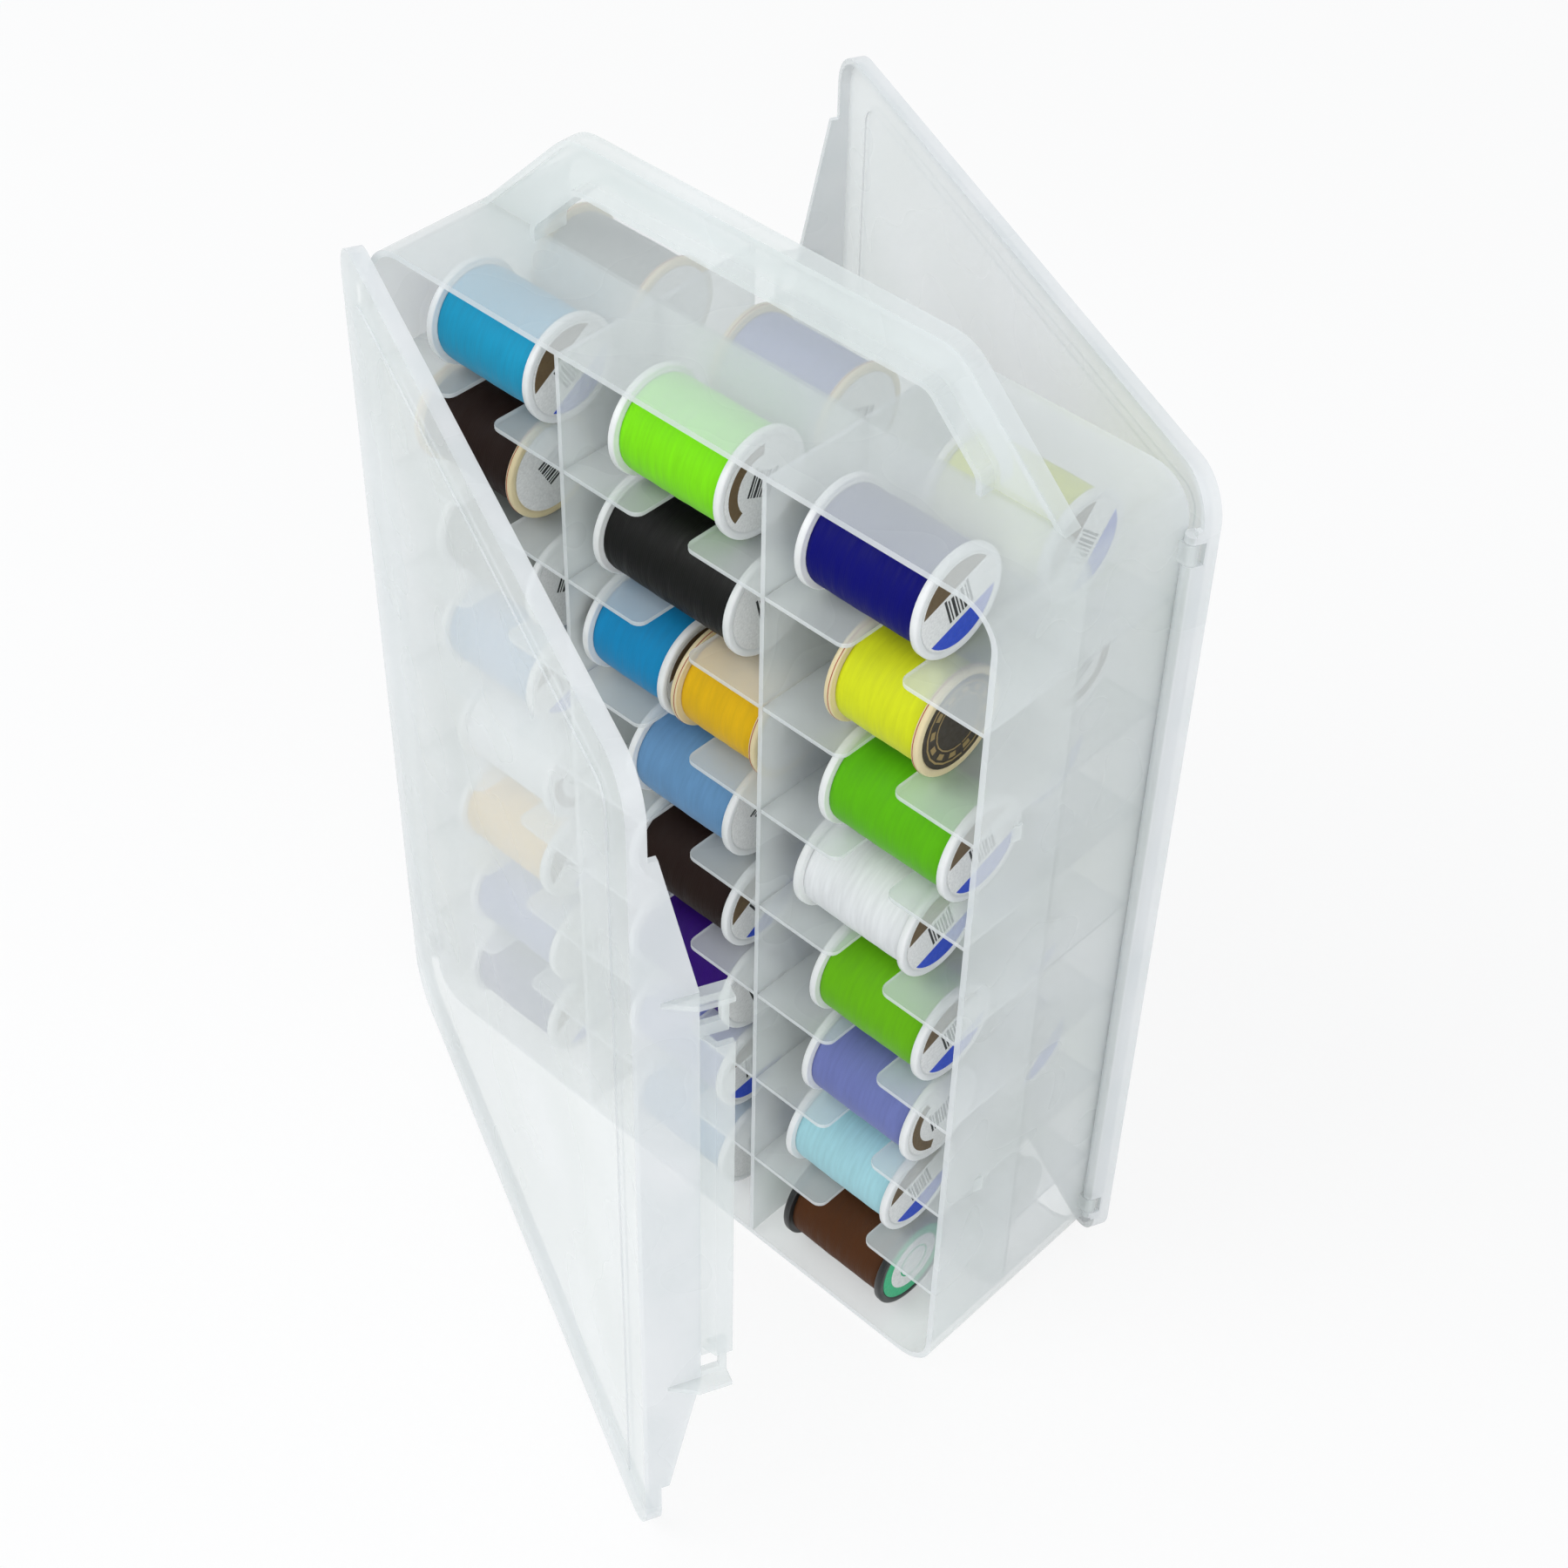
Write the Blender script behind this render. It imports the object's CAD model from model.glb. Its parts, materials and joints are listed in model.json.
import json
import math

import bmesh
import bpy
from mathutils import Matrix, Vector


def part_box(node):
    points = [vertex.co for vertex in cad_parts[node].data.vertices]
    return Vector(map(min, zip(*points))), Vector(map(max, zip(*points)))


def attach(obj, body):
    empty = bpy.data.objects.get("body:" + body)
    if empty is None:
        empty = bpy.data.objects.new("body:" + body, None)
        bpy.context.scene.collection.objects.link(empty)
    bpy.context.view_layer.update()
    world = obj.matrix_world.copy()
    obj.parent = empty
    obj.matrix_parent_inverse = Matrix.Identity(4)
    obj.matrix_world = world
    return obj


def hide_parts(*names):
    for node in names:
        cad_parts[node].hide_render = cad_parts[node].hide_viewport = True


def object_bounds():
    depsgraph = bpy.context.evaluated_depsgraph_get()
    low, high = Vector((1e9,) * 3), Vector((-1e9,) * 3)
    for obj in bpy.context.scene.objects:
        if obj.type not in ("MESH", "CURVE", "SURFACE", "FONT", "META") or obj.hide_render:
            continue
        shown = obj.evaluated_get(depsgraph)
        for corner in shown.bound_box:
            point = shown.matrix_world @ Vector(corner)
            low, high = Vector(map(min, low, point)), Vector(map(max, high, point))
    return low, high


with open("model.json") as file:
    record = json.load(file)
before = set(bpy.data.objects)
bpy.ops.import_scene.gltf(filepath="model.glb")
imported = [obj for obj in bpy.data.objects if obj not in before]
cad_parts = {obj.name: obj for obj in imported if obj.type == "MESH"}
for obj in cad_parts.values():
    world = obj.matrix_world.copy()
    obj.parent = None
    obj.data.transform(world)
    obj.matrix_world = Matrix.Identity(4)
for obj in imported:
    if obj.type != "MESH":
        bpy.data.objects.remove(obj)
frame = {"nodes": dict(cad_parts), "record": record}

cad_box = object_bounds()

# Sizes in metres that the frame doesn't give.
FLANGE_T = 0.0022
DRUM_R = 0.008
BORE_R = 0.0035
RIM_ROUND = 0.0007
LIP_ROUND = 0.0005
TAB_ROUND = 0.003
NOTCH_ROUND = 0.0015
SHELF_BEVEL = 0.0002
EDGE_ROUND = {"lid": 0.0009, "case_shell": 0.0005, "carry_handle": 0.0005}
EDGE_ANGLE = math.radians(40)
LABEL_EDGE = 0.0021
LABEL_GAP = 0.0001
LABEL_SEAT = 0.0004
LABEL_T = 0.00022
PRINT_T = 0.00004
RED_LINE = 0.0001
STRAND_RISE = 0.00003
THREAD_GAP = 0.00006
THREAD_SWELL = 0.00012
THREAD_DROP = 0.00035
THREAD_DROP_REACH = 0.0005
THREAD_UNEVEN = 0.00005
THREAD_INSIDE = DRUM_R + 0.0001
WOUND_D = 0.027

# How finely the round forms are drawn.
SPOOL_SIDES = 56
THREAD_SIDES = 40
TURNS_PER_METRE = 1500
STEPS_PER_TURN = 3

# How much each kind of face of the clear plastic hides of what lies behind it: faces that look up or down,
# all others, and cut edges. CLEAR_SHADOW is how much any face stops of the light that falls through it.
CLEAR_TOP = 0.36
CLEAR_SIDE = 0.47
CLEAR_EDGE = 0.65
CLEAR_SHADOW = 0.12
CLOUD_DARK = (0.77, 0.815, 0.8)
CLOUD_LIGHT = (0.845, 0.88, 0.88)
EDGE_DARK = (0.83, 0.865, 0.875)
EDGE_LIGHT = (0.89, 0.91, 0.92)

# A face counts as looking along an axis as that part of its normal goes from the first to the second.
FACING = 0.6, 0.8
# Most of a noise texture's values lie between these.
NOISE_RANGE = 0.3, 0.7

# Camera, solved from the photograph: where it stands, where it looks from and its roll.
CAMERA_PLACE = Vector((0.3729, -0.3931, 0.6574))
CAMERA_AZIMUTH = math.radians(42.566)
CAMERA_ELEVATION = math.radians(43.742)
CAMERA_ROLL = math.radians(1.507)
CAMERA_LENS = 62.45

# Lamps: place, aim, width and power. Then the strength of the world's light and of the floor's own white.
KEY_LIGHT = (-0.9, -1.5, 1.9), (0, 0, 0.15), 1.6, 27
FILL_LIGHT = (1.7, -0.9, 1.1), (0, 0, 0.12), 1.8, 12
WORLD_LIGHT = 0.62
FLOOR_WHITE = 0.86
FLOOR_HALF = 6
FLOOR_DROP = 0.0002

# Colours, as they look in the photograph.
THREADS = {
    "thread_navy": (0.0015, 0.002, 0.14), "thread_yellow": (0.66, 0.72, 0.015),
    "thread_grass": (0.11, 0.47, 0.004), "thread_white": (0.82, 0.83, 0.84),
    "thread_green": (0.14, 0.46, 0.005), "thread_lilac": (0.17, 0.2, 0.47),
    "thread_sky": (0.38, 0.66, 0.72), "thread_brown": (0.075, 0.026, 0.008),
    "thread_lime": (0.21, 0.74, 0.006), "thread_black": (0.004, 0.004, 0.0036),
    "thread_gold": (0.78, 0.46, 0.008), "thread_steel_blue": (0.14, 0.3, 0.52),
    "thread_umber": (0.017, 0.008, 0.006), "thread_purple": (0.03, 0.003, 0.15),
    "thread_teal": (0.012, 0.31, 0.52), "thread_grey": (0.2, 0.21, 0.2),
    "thread_blue": (0.008, 0.25, 0.52),
}

# Sheen and added gloss of the dark threads.
THREAD_FINISH = {
    "thread_black": (0.0, 0.08), "thread_navy": (0.02, 0.0), "thread_umber": (0.02, 0.0),
    "thread_purple": (0.02, 0.0), "thread_brown": (0.02, 0.0),
}


class Nodes:
    """A material's node tree, with short calls to add and join nodes."""

    def __init__(self, name):
        self.material = bpy.data.materials.new(name)
        self.material.use_nodes = True
        self.tree = self.material.node_tree
        self.shader = self.tree.nodes["Principled BSDF"]

    def add(self, kind, **settings):
        node = self.tree.nodes.new(kind)
        for key, value in settings.items():
            setattr(node, key, value)
        return node

    def join(self, out, into):
        self.tree.links.new(out, into)

    def place(self):
        return self.add("ShaderNodeTexCoord").outputs["Object"]

    def facing(self):
        return self.add("ShaderNodeTexCoord").outputs["Normal"]

    def noise(self, scale, detail=3.0, stretch=(1, 1, 1)):
        spread = self.add("ShaderNodeMapping")
        spread.inputs["Scale"].default_value = stretch
        noise = self.add("ShaderNodeTexNoise")
        noise.inputs["Scale"].default_value = scale
        noise.inputs["Detail"].default_value = detail
        self.join(self.place(), spread.inputs["Vector"])
        self.join(spread.outputs["Vector"], noise.inputs["Vector"])
        return noise.outputs["Fac"]

    def ramp(self, value, low, high, dark, light):
        ramp = self.add("ShaderNodeValToRGB")
        ramp.color_ramp.elements[0].position = low
        ramp.color_ramp.elements[0].color = (*dark, 1)
        ramp.color_ramp.elements[1].position = high
        ramp.color_ramp.elements[1].color = (*light, 1)
        self.join(value, ramp.inputs["Fac"])
        return ramp.outputs["Color"]

    def span(self, value, low, high, to_low, to_high):
        span = self.add("ShaderNodeMapRange")
        for name, number in (("From Min", low), ("From Max", high), ("To Min", to_low), ("To Max", to_high)):
            span.inputs[name].default_value = number
        self.join(value, span.inputs["Value"])
        return span.outputs["Result"]

    def mix(self, value, first, second):
        # Inputs 6 and 7 and output 2 are this node's colours.
        mix = self.add("ShaderNodeMix", data_type="RGBA")
        self.join(value, mix.inputs["Factor"])
        self.join(first, mix.inputs[6])
        self.join(second, mix.inputs[7])
        return mix.outputs[2]

    def bump(self, height, distance, strength=1.0):
        bump = self.add("ShaderNodeBump")
        bump.inputs["Distance"].default_value = distance
        bump.inputs["Strength"].default_value = strength
        self.join(height, bump.inputs["Height"])
        self.join(bump.outputs["Normal"], self.shader.inputs["Normal"])

    def set(self, **values):
        for name, value in values.items():
            self.shader.inputs[name.replace("_", " ")].default_value = value


def shade(colour, factor):
    """A colour made darker or lighter."""
    return tuple(min(1.0, channel * factor) for channel in colour)


def clear_plastic(name, axis=None, along_axis=True):
    """Milky polypropylene. With an axis, cut edges are whiter and let less be seen: the faces that look along
    that axis, or all others where along_axis is false."""
    m = Nodes(name)
    m.set(IOR=1.49, Specular_IOR_Level=0.4)
    parts = m.add("ShaderNodeSeparateXYZ")
    m.join(m.facing(), parts.inputs[0])

    def faces_along(number):
        size = m.add("ShaderNodeMath", operation="ABSOLUTE")
        m.join(parts.outputs[number], size.inputs[0])
        return size.outputs[0]

    shadow = m.add("ShaderNodeLightPath").outputs["Is Shadow Ray"]
    seen = m.span(faces_along(2), *FACING, CLEAR_SIDE, CLEAR_TOP)
    alpha = m.span(shadow, 0, 1, CLEAR_SIDE, CLEAR_SHADOW)
    m.join(seen, alpha.node.inputs["To Min"])
    colour = m.ramp(m.noise(18, 1), *NOISE_RANGE, CLOUD_DARK, CLOUD_LIGHT)
    if axis is not None:
        edge = m.span(faces_along(axis), *FACING, 1 - along_axis, along_axis)
        white = m.ramp(m.noise(60, 0), *NOISE_RANGE, EDGE_DARK, EDGE_LIGHT)
        colour = m.mix(edge, colour, white)
        solid = m.span(edge, 0, 1, CLEAR_SIDE, CLEAR_EDGE)
        m.join(alpha, solid.node.inputs["To Min"])
        alpha = solid
    m.join(alpha, m.shader.inputs["Alpha"])
    m.join(colour, m.shader.inputs["Base Color"])
    m.join(m.span(m.noise(30, 1), *NOISE_RANGE, 0.24, 0.34), m.shader.inputs["Roughness"])
    m.bump(m.noise(14, 0), 0.0006, 0.3)
    return m.material


def thread_material(name, colour):
    """Fine spun thread: streaks that run with the turns, wide faint bands and a soft sheen."""
    sheen, gloss = THREAD_FINISH.get(name, (0.12, 0.0))
    m = Nodes(name)
    m.set(Roughness=0.62, Sheen_Weight=sheen, Sheen_Roughness=0.4, Specular_IOR_Level=0.12 + gloss)
    turns = m.noise(900, 4, (1.0, 0.12, 0.12))
    bands = m.noise(160, 2, (1.0, 0.05, 0.05))
    fine = m.ramp(turns, 0.3, 0.72, shade(colour, 0.88), shade(colour, 1.12))
    wide = m.ramp(bands, *NOISE_RANGE, shade(colour, 0.96), shade(colour, 1.04))
    half = m.add("ShaderNodeValue").outputs[0]
    half.default_value = 0.5
    m.join(m.mix(half, fine, wide), m.shader.inputs["Base Color"])
    m.join(m.span(turns, *NOISE_RANGE, 0.5 - gloss, 0.72 - gloss), m.shader.inputs["Roughness"])
    m.bump(turns, 0.00006, 0.4)
    return m.material


def reel_plastic(name, colour):
    """Moulded reel plastic with faint mottling."""
    m = Nodes(name)
    mottle = m.ramp(m.noise(120, 3), *NOISE_RANGE, shade(colour, 0.94), shade(colour, 1.04))
    m.join(mottle, m.shader.inputs["Base Color"])
    m.join(m.span(m.noise(260, 2), *NOISE_RANGE, 0.3, 0.42), m.shader.inputs["Roughness"])
    m.set(Subsurface_Weight=0.1, Subsurface_Radius=(0.001, 0.001, 0.001))
    m.bump(m.noise(700, 2), 0.00002, 0.4)
    return m.material


def paper(name, colour):
    """Coated label paper with a light mottle of the printing."""
    m = Nodes(name)
    mottle = m.ramp(m.noise(1500, 2), *NOISE_RANGE, shade(colour, 0.9), shade(colour, 1.06))
    m.join(mottle, m.shader.inputs["Base Color"])
    m.join(m.span(m.noise(800, 2), *NOISE_RANGE, 0.38, 0.5), m.shader.inputs["Roughness"])
    m.bump(m.noise(2500, 2), 0.00001, 0.3)
    return m.material


MATERIALS = {name: thread_material(name, colour) for name, colour in THREADS.items()}
MATERIALS["shelf_plastic"] = clear_plastic("shelf_plastic", 2, False)
MATERIALS["spool_white"] = reel_plastic("spool_white", (0.86, 0.87, 0.87))
MATERIALS["spool_cream"] = reel_plastic("spool_cream", (0.78, 0.66, 0.4))
MATERIALS["spool_black"] = reel_plastic("spool_black", (0.012, 0.014, 0.014))
LABEL_PAPERS = [paper(name, colour) for name, colour in (
    ("paper_white", (0.86, 0.86, 0.85)), ("paper_blue", (0.015, 0.07, 0.62)),
    ("paper_brown", (0.13, 0.08, 0.03)), ("paper_ink", (0.02, 0.02, 0.02)),
    ("paper_green", (0.02, 0.5, 0.22)), ("paper_dark", (0.035, 0.024, 0.014)),
    ("paper_gold", (0.34, 0.24, 0.09)), ("paper_red", (0.42, 0.05, 0.02)))]
WHITE, BLUE, BROWN, INK, GREEN, DARK, GOLD, RED = range(8)


def new_object(name, mesh_builder, materials, body):
    """Turns a bmesh into a piece that rides on a body."""
    mesh = bpy.data.meshes.new(name)
    mesh_builder.to_mesh(mesh)
    mesh_builder.free()
    for material in materials:
        mesh.materials.append(material)
    piece = bpy.data.objects.new(name, mesh)
    bpy.context.scene.collection.objects.link(piece)
    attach(piece, body)
    return piece


def strip(bm, first, second):
    """A closed strip of faces between two rings with the same number of points."""
    count = len(first)
    return [bm.faces.new((first[i], first[(i + 1) % count], second[(i + 1) % count], second[i]))
            for i in range(count)]


def revolve(bm, rows, centre, sides, material=0):
    """Joins rings of points round an axis along X into a closed skin. A row is its x and its radius, or a
    function that gives the radius at an angle."""
    rings = []
    for x, radius in rows:
        ring = []
        for i in range(sides):
            angle = 2 * math.pi * i / sides
            r = radius(angle) if callable(radius) else radius
            ring.append(bm.verts.new((x, centre[0] + r * math.cos(angle), centre[1] + r * math.sin(angle))))
        rings.append(ring)
    for first, second in zip(rings, rings[1:] + rings[:1]):
        for face in strip(bm, first, second):
            face.smooth = True
            face.material_index = material


class Spool:
    """Where one spool lies, read from its CAD reel: its ends along X, its axis and its radius."""

    def __init__(self, low, high, number):
        self.left, self.right = low.x, high.x
        self.centre = ((low.y + high.y) / 2, (low.z + high.z) / 2)
        self.radius = (high.z - low.z) / 2
        self.number = number


def islands(node):
    """The separate solids of a CAD node as (lowest, highest) corners, from the top row down."""
    bm = bmesh.new()
    bm.from_mesh(frame["nodes"][node].data)
    bmesh.ops.remove_doubles(bm, verts=bm.verts, dist=1e-6)
    left = set(bm.verts)
    boxes = []
    while left:
        group, queue = [], [left.pop()]
        while queue:
            vert = queue.pop()
            group.append(vert.co)
            for edge in vert.link_edges:
                other = edge.other_vert(vert)
                if other in left:
                    left.remove(other)
                    queue.append(other)
        low = Vector([min(point[i] for point in group) for i in range(3)])
        high = Vector([max(point[i] for point in group) for i in range(3)])
        boxes.append((low, high))
    bm.free()
    return sorted(boxes, key=lambda box: (-round(box[0].z, 3), box[0].x))


def reel_rows(spool):
    """A reel's section: a label seat on each end, rounded rims, a groove inside each rim and the drum."""
    r, t = spool.radius, FLANGE_T
    seat = r - LABEL_EDGE
    half = [(LABEL_SEAT, BORE_R), (LABEL_SEAT, seat), (0.00008, seat + 0.00025), (0, seat + 0.0006)]
    for step in range(5):
        angle = math.radians(180 - 22.5 * step)
        half.append((RIM_ROUND + RIM_ROUND * math.cos(angle), r - RIM_ROUND + RIM_ROUND * math.sin(angle)))
    for step in range(1, 4):
        angle = math.radians(90 - 30 * step)
        half.append((t - LIP_ROUND + LIP_ROUND * math.cos(angle), r - LIP_ROUND + LIP_ROUND * math.sin(angle)))
    half += [(t - 0.0002, r - 0.0012), (t, r - 0.0016), (t, DRUM_R + 0.0004), (t + 0.0004, DRUM_R)]
    left = [(spool.left + x, radius) for x, radius in half]
    right = [(spool.right - x, radius) for x, radius in reversed(half)]
    return left + right


def thread_rows(spool, wound, turns):
    """The wound thread's rows. One ridge runs round it as a helix from end to end, and the layer swells
    slightly in the middle."""
    start, end = spool.left + FLANGE_T + THREAD_GAP, spool.right - FLANGE_T - THREAD_GAP
    steps = turns * STEPS_PER_TURN
    rows = []
    for i in range(steps + 1):
        along = i / steps
        edge = min(along, 1 - along) * (end - start)
        swell = THREAD_SWELL * math.sin(math.pi * along) - THREAD_SWELL
        body = wound - THREAD_DROP * math.exp(-edge / THREAD_DROP_REACH) + swell
        uneven = THREAD_UNEVEN * math.sin(9 * along + spool.number) * math.sin(23 * along + 2 * spool.number)

        def radius(angle, body=body + uneven, phase=2 * math.pi * turns * along):
            return body - STRAND_RISE + STRAND_RISE * math.cos(phase - angle)

        rows.append((start + along * (end - start), radius))
    return rows + [(end, THREAD_INSIDE), (start, THREAD_INSIDE)]


def prism(bm, outline, x, thickness, outward, centre, turn, material):
    """A thin closed plate of print or paper on a spool's end. outline is in the label's own flat axes."""
    cos, sin = math.cos(turn), math.sin(turn)
    layers = []
    for level in (x, x + outward * thickness):
        layers.append([bm.verts.new((level, centre[0] + u * cos - v * sin, centre[1] + u * sin + v * cos))
                       for u, v in outline])
    ends = [bm.faces.new(layers[0] if outward < 0 else layers[0][::-1]),
            bm.faces.new(layers[1][::-1] if outward < 0 else layers[1])]
    for face in ends + strip(bm, *layers):
        face.material_index = material


def circle_points(radius, count=40):
    """A full disc."""
    return [(radius * math.cos(2 * math.pi * i / count), radius * math.sin(2 * math.pi * i / count))
            for i in range(count)]


def segment_points(radius, chord, side, count=18):
    """The part of a disc beyond a chord, on the +u or -u side."""
    reach = math.acos(chord / radius)
    middle = 0 if side > 0 else math.pi
    return [(radius * math.cos(middle - reach + 2 * reach * i / count),
             radius * math.sin(middle - reach + 2 * reach * i / count)) for i in range(count + 1)]


def ring_points(inner, outer, start, end, count=20):
    """The part of a ring between two angles."""
    angles = [start + (end - start) * i / count for i in range(count + 1)]
    return ([(outer * math.cos(a), outer * math.sin(a)) for a in angles]
            + [(inner * math.cos(a), inner * math.sin(a)) for a in reversed(angles)])


def label(bm, spool, style, outward):
    """A paper disc in the seat of one end, with plain fields and stripes printed on it."""
    end = spool.right if outward > 0 else spool.left
    base = end - outward * LABEL_SEAT
    top = base + outward * LABEL_T
    radius = spool.radius - LABEL_EDGE - LABEL_GAP
    if style == "segments":
        turn = math.radians(-62 + 23 * math.sin(2.3 * spool.number))
    else:
        turn = math.radians(37 * spool.number + (25 if outward > 0 else 150))

    def put(points, colour, lift=0):
        level = top + outward * lift * PRINT_T
        prism(bm, points, level, PRINT_T, outward, spool.centre, turn, colour)

    disc = {"ring": GREEN, "dark": DARK}.get(style, WHITE)
    prism(bm, circle_points(radius), base, LABEL_T, outward, spool.centre, turn, disc)
    inside = radius * 0.96
    if style == "segments":
        put(segment_points(inside, radius * 0.4, 1), BLUE)
        put(segment_points(inside, radius * 0.42, -1), BROWN)
    if style in ("segments", "stripes", "arc"):
        widths = (0.7, 0.4, 0.9, 0.4, 0.5, 0.8, 0.4, 0.7)
        scale = radius / 13
        v = -4.2 * scale
        for i, width in enumerate(widths):
            low = (-4.6 if i in (0, 7) else -3.8) * scale
            put([(low, v), (3.6 * scale, v), (3.6 * scale, v + width * scale), (low, v + width * scale)], INK)
            v += (width + (0.5 if i % 2 else 0.35)) * scale * 1.1
    if style == "arc":
        put(ring_points(radius * 0.66, radius * 0.9, math.radians(200), math.radians(330)), BROWN)
    if style == "ring":
        put(circle_points(radius * 0.74), WHITE)
        put(ring_points(radius * 0.4, radius * 0.44, 0, math.radians(350)), GREEN, 1)
    if style == "dark":
        put(ring_points(radius * 0.86, radius * 0.9, 0, math.radians(356)), GOLD)
        put(ring_points(radius * 0.6, radius * 0.63, 0, math.radians(356)), GOLD)
        for i in range(12):
            a = math.radians(30 * i)
            put(ring_points(radius * 0.68, radius * 0.8, a, a + math.radians(14), 4), GOLD)


def cream_line(bm, spool):
    """The fine red line that runs round a cream flange."""
    for x in (spool.left + FLANGE_T * 0.72, spool.right - FLANGE_T * 0.72):
        r = spool.radius
        section = [(x - RED_LINE, r - 0.0002), (x - RED_LINE, r + 0.00002),
                   (x + RED_LINE, r + 0.00002), (x + RED_LINE, r - 0.0002)]
        revolve(bm, section, spool.centre, SPOOL_SIDES, material=RED)


def spool_set(name, reel_node, thread_jobs, body, reel_slot, styles):
    """The reels, threads and labels of one CAD reel node. thread_jobs is a list of (thread node, its spools'
    indexes, their materials)."""
    spools = [Spool(low, high, i + len(name)) for i, (low, high) in enumerate(islands(reel_node))]
    reels = bmesh.new()
    for spool, style in zip(spools, styles):
        cream = style in ("dark", "cream")
        revolve(reels, reel_rows(spool), spool.centre, SPOOL_SIDES, material=1 if cream else 0)
    piece = new_object(name + "_reels", reels, [MATERIALS[reel_slot], MATERIALS["spool_cream"]], body)
    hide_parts(reel_node)
    labels = bmesh.new()
    for spool, style in zip(spools, styles):
        for outward in (1, -1):
            label(labels, spool, "stripes" if style == "cream" else style, outward)
        if style in ("dark", "cream"):
            cream_line(labels, spool)
    new_object(name + "_labels", labels, LABEL_PAPERS, body)
    for node, indexes, threads in thread_jobs:
        low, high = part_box(node)
        wound = min(high[2] - low[2], WOUND_D) / 2
        bm = bmesh.new()
        for number, index in enumerate(indexes):
            spool = spools[index]
            rows = thread_rows(spool, wound, round((spool.right - spool.left) * TURNS_PER_METRE))
            revolve(bm, rows, spool.centre, THREAD_SIDES, material=number)
        thread = new_object(node + "_wound", bm, [MATERIALS[colour] for colour in threads], body)
        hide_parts(node)


SLOT = {row["node"]: row["material_slot"] for row in frame["record"]["subparts"]}
RIGHT_STYLES = ["segments", "dark", "segments", "segments", "segments", "arc", "segments", "ring"]
LEFT_STYLES = ["segments", "cream", "stripes", "segments", "arc", "segments", "stripes", "segments"]
MIDDLE_STYLES = ["arc", "stripes", "segments", "cream", "stripes", "segments", "arc", "segments", "stripes"]
REAR_STYLES = {
    "left": ["segments", "arc", "segments", "stripes", "segments", "segments", "arc", "stripes"],
    "middle": ["cream", "segments", "stripes", "segments", "arc", "segments", "segments", "stripes"],
    "right": ["cream", "segments", "segments", "arc", "stripes", "segments", "cream", "segments"],
}
REAR_THREADS = {
    "left": ["yellow", "grass", "steel_blue", "white", "yellow", "lilac", "lime", "grey"],
    "middle": ["lilac", "umber", "gold", "teal", "white", "navy", "sky", "brown"],
    "right": ["grey", "teal", "brown", "yellow", "purple", "green", "white", "steel_blue"],
}


def add_spools():
    """All 49 spools: the loose front right column, then those that stay in the case."""
    for row in range(1, 9):
        reel = f"front_right_spool_{row}"
        node = f"front_right_thread_{row}"
        spool_set(f"right_{row}", reel, [(node, [0], [SLOT[node]])], f"spool_{row}", SLOT[reel],
                  [RIGHT_STYLES[row - 1]])
    left = [f"front_left_thread_{row}" for row in range(1, 9)]
    jobs = [(node, [row], [SLOT[node]]) for row, node in enumerate(left)]
    spool_set("left", "front_left_spools", jobs, "case", "spool_white", LEFT_STYLES)
    jobs = []
    for row in range(1, 9):
        node = f"front_middle_thread_{row}"
        if row == 3:
            jobs.append((node, [2, 3], ["thread_blue", SLOT[node]]))
        else:
            jobs.append((node, [row - 1 if row < 3 else row], [SLOT[node]]))
    spool_set("middle", "front_middle_spools", jobs, "case", "spool_white", MIDDLE_STYLES)
    for column, styles in REAR_STYLES.items():
        colours = ["thread_" + colour for colour in REAR_THREADS[column]]
        jobs = [(f"rear_{column}_threads", range(8), colours)]
        spool_set(f"rear_{column}", f"rear_{column}_spools", jobs, "case", "spool_white", styles)


def shelf_outline(back, tabs):
    """A shelf seen from above, with its finger notch. Its corners beside the notch are rounded."""
    first, second = sorted(tabs, key=lambda tab: tab[0].x)
    left, near, far, right = first[0].x, first[1].x, second[0].x, second[1].x
    low, high = back
    toward = 1 if tabs[0][0].y < low.y else -1
    front = min(tab[0].y for tab in tabs) if toward > 0 else max(tab[1].y for tab in tabs)
    notch = low.y if toward > 0 else high.y
    rear = high.y if toward > 0 else low.y
    points = [(left, front)]
    for x, side in ((near, -1), (far, 1)):
        bend = []
        for step in range(6):
            a = math.radians(90 * step / 5)
            bend.append((x + side * TAB_ROUND * (1 - math.sin(a)),
                         front + toward * TAB_ROUND * (1 - math.cos(a))))
        for step in range(4):
            a = math.radians(90 * step / 3)
            bend.append((x - side * NOTCH_ROUND * (1 - math.cos(a)),
                         notch - toward * NOTCH_ROUND * (1 - math.sin(a))))
        points += bend if side < 0 else bend[::-1]
    return points + [(right, front), (right, rear), (left, rear)]


def add_shelves(side):
    """One side's shelves, each a moulded plate with a finger notch and softened edges."""
    backs = islands(f"{side}_shelves")
    tabs = islands(f"{side}_shelf_tabs")
    bm = bmesh.new()
    for back in backs:
        own = [tab for tab in tabs if abs(tab[0].z - back[0].z) < 0.001
               and tab[0].x > back[0].x - 0.001 and tab[1].x < back[1].x + 0.001]
        outline = shelf_outline(back, own)
        layers = [[bm.verts.new((x, y, z)) for x, y in outline] for z in (back[0].z, back[1].z)]
        bm.faces.new(layers[0][::-1])
        bm.faces.new(layers[1])
        strip(bm, *layers)
    bmesh.ops.recalc_face_normals(bm, faces=bm.faces)
    piece = new_object(f"{side}_shelf_plates", bm, [MATERIALS["shelf_plastic"]], "case")
    soften(piece, SHELF_BEVEL)
    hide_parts(f"{side}_shelves", f"{side}_shelf_tabs")


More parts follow.
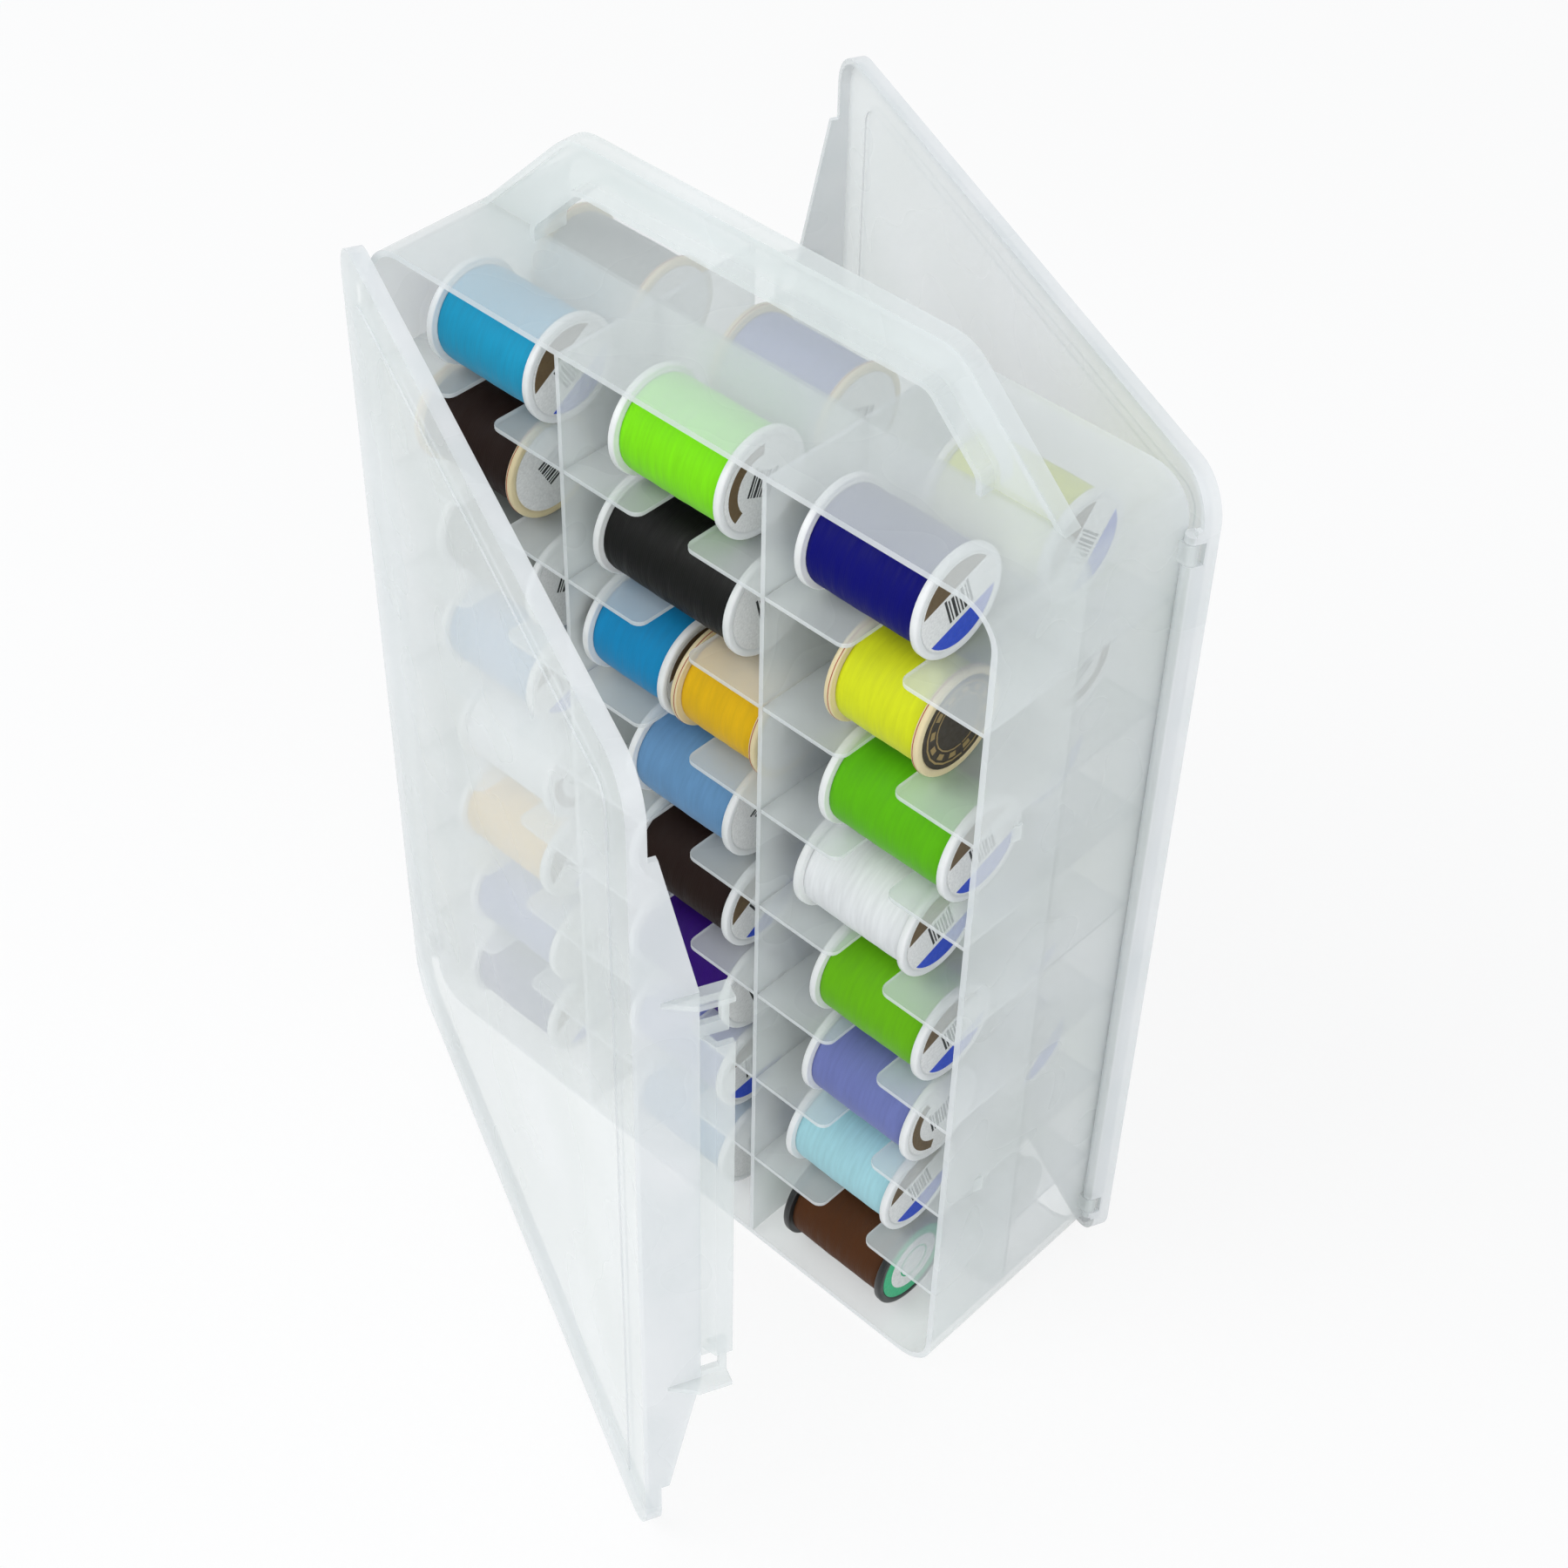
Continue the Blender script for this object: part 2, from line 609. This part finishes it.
def soften(obj, width):
    """Rounds an object's sharp edges a little."""
    bevel = obj.modifiers.new("soft_edges", "BEVEL")
    bevel.width = width
    bevel.segments = 2
    bevel.limit_method = "ANGLE"
    bevel.angle_limit = EDGE_ANGLE


def dress_case():
    """Gives the clear parts their plastic, and softens the edges of those in EDGE_ROUND."""
    finishes = {
        "case_shell": clear_plastic("case_plastic", 1),
        "middle_wall": clear_plastic("wall_plastic"),
        "dividers": clear_plastic("divider_plastic", 0, False),
        "carry_handle": clear_plastic("handle_plastic"),
        "lid": clear_plastic("lid_plastic", 1, False),
    }
    for node, obj in frame["nodes"].items():
        if SLOT[node] != "clear_plastic":
            continue
        key = next((k for k in finishes if node.endswith(k)), "middle_wall")
        obj.data.materials.clear()
        obj.data.materials.append(finishes[key])
        if key in EDGE_ROUND:
            soften(obj, EDGE_ROUND[key])


def add_camera():
    """The camera that took the photograph."""
    back = Vector((math.sin(CAMERA_AZIMUTH) * math.cos(CAMERA_ELEVATION),
                   -math.cos(CAMERA_AZIMUTH) * math.cos(CAMERA_ELEVATION), math.sin(CAMERA_ELEVATION)))
    level = Vector((math.cos(CAMERA_AZIMUTH), math.sin(CAMERA_AZIMUTH), 0))
    upright = back.cross(level)
    right = math.cos(CAMERA_ROLL) * level + math.sin(CAMERA_ROLL) * upright
    up = math.cos(CAMERA_ROLL) * upright - math.sin(CAMERA_ROLL) * level
    data = bpy.data.cameras.new("camera")
    data.lens = CAMERA_LENS
    camera = bpy.data.objects.new("camera", data)
    camera.matrix_world = Matrix.Translation(CAMERA_PLACE) @ Matrix((right, up, back)).transposed().to_4x4()
    bpy.context.scene.collection.objects.link(camera)
    bpy.context.scene.camera = camera


def add_light(name, place, aim, size, power):
    """A round soft lamp that points at aim."""
    data = bpy.data.lights.new(name, "AREA")
    data.shape = "DISK"
    data.size = size
    data.energy = power
    lamp = bpy.data.objects.new(name, data)
    lamp.location = place
    lamp.rotation_euler = (Vector(aim) - Vector(place)).to_track_quat("-Z", "Y").to_euler()
    bpy.context.scene.collection.objects.link(lamp)


def seen_rays(tree):
    """1 for the rays that show the background: camera, glossy and transmission rays."""
    path = tree.nodes.new("ShaderNodeLightPath")
    value = path.outputs["Is Camera Ray"]
    for name in ("Is Glossy Ray", "Is Transmission Ray"):
        most = tree.nodes.new("ShaderNodeMath")
        most.operation = "MAXIMUM"
        tree.links.new(value, most.inputs[0])
        tree.links.new(path.outputs[name], most.inputs[1])
        value = most.outputs[0]
    return value


def add_world():
    """Soft light from all round, and plain white where the background is seen."""
    world = bpy.data.worlds.new("studio")
    world.use_nodes = True
    tree = world.node_tree
    tree.nodes.clear()
    light = tree.nodes.new("ShaderNodeBackground")
    light.inputs["Color"].default_value = (0.93, 0.96, 1.0, 1)
    light.inputs["Strength"].default_value = WORLD_LIGHT
    white = tree.nodes.new("ShaderNodeBackground")
    white.inputs["Color"].default_value = (1, 1, 1, 1)
    mix = tree.nodes.new("ShaderNodeMixShader")
    out = tree.nodes.new("ShaderNodeOutputWorld")
    tree.links.new(seen_rays(tree), mix.inputs[0])
    tree.links.new(light.outputs[0], mix.inputs[1])
    tree.links.new(white.outputs[0], mix.inputs[2])
    tree.links.new(mix.outputs[0], out.inputs[0])
    bpy.context.scene.world = world


def add_floor():
    """A wide white floor that glows a little where it is seen, so that it fades into the background."""
    m = Nodes("floor")
    tree = m.tree
    m.set(Roughness=0.9)
    shades = m.ramp(m.noise(3, 3), *NOISE_RANGE, (0.86, 0.86, 0.86), (0.9, 0.9, 0.9))
    m.join(shades, m.shader.inputs["Base Color"])
    glow = m.add("ShaderNodeEmission")
    share = m.add("ShaderNodeMath", operation="MULTIPLY")
    share.inputs[1].default_value = FLOOR_WHITE
    m.join(seen_rays(tree), share.inputs[0])
    mix = m.add("ShaderNodeMixShader")
    m.join(share.outputs[0], mix.inputs[0])
    m.join(m.shader.outputs[0], mix.inputs[1])
    m.join(glow.outputs[0], mix.inputs[2])
    m.join(mix.outputs[0], tree.nodes["Material Output"].inputs["Surface"])
    bm = bmesh.new()
    bmesh.ops.create_grid(bm, x_segments=1, y_segments=1, size=FLOOR_HALF)
    mesh = bpy.data.meshes.new("floor")
    bm.to_mesh(mesh)
    bm.free()
    mesh.materials.append(m.material)
    floor = bpy.data.objects.new("floor", mesh)
    floor.location.z = cad_box[0][2] - FLOOR_DROP
    bpy.context.scene.collection.objects.link(floor)


add_camera()
dress_case()
add_shelves("front")
add_shelves("rear")
add_spools()
add_world()
add_floor()
add_light("key", *KEY_LIGHT)
add_light("fill", *FILL_LIGHT)
bpy.context.scene.view_settings.view_transform = "Standard"
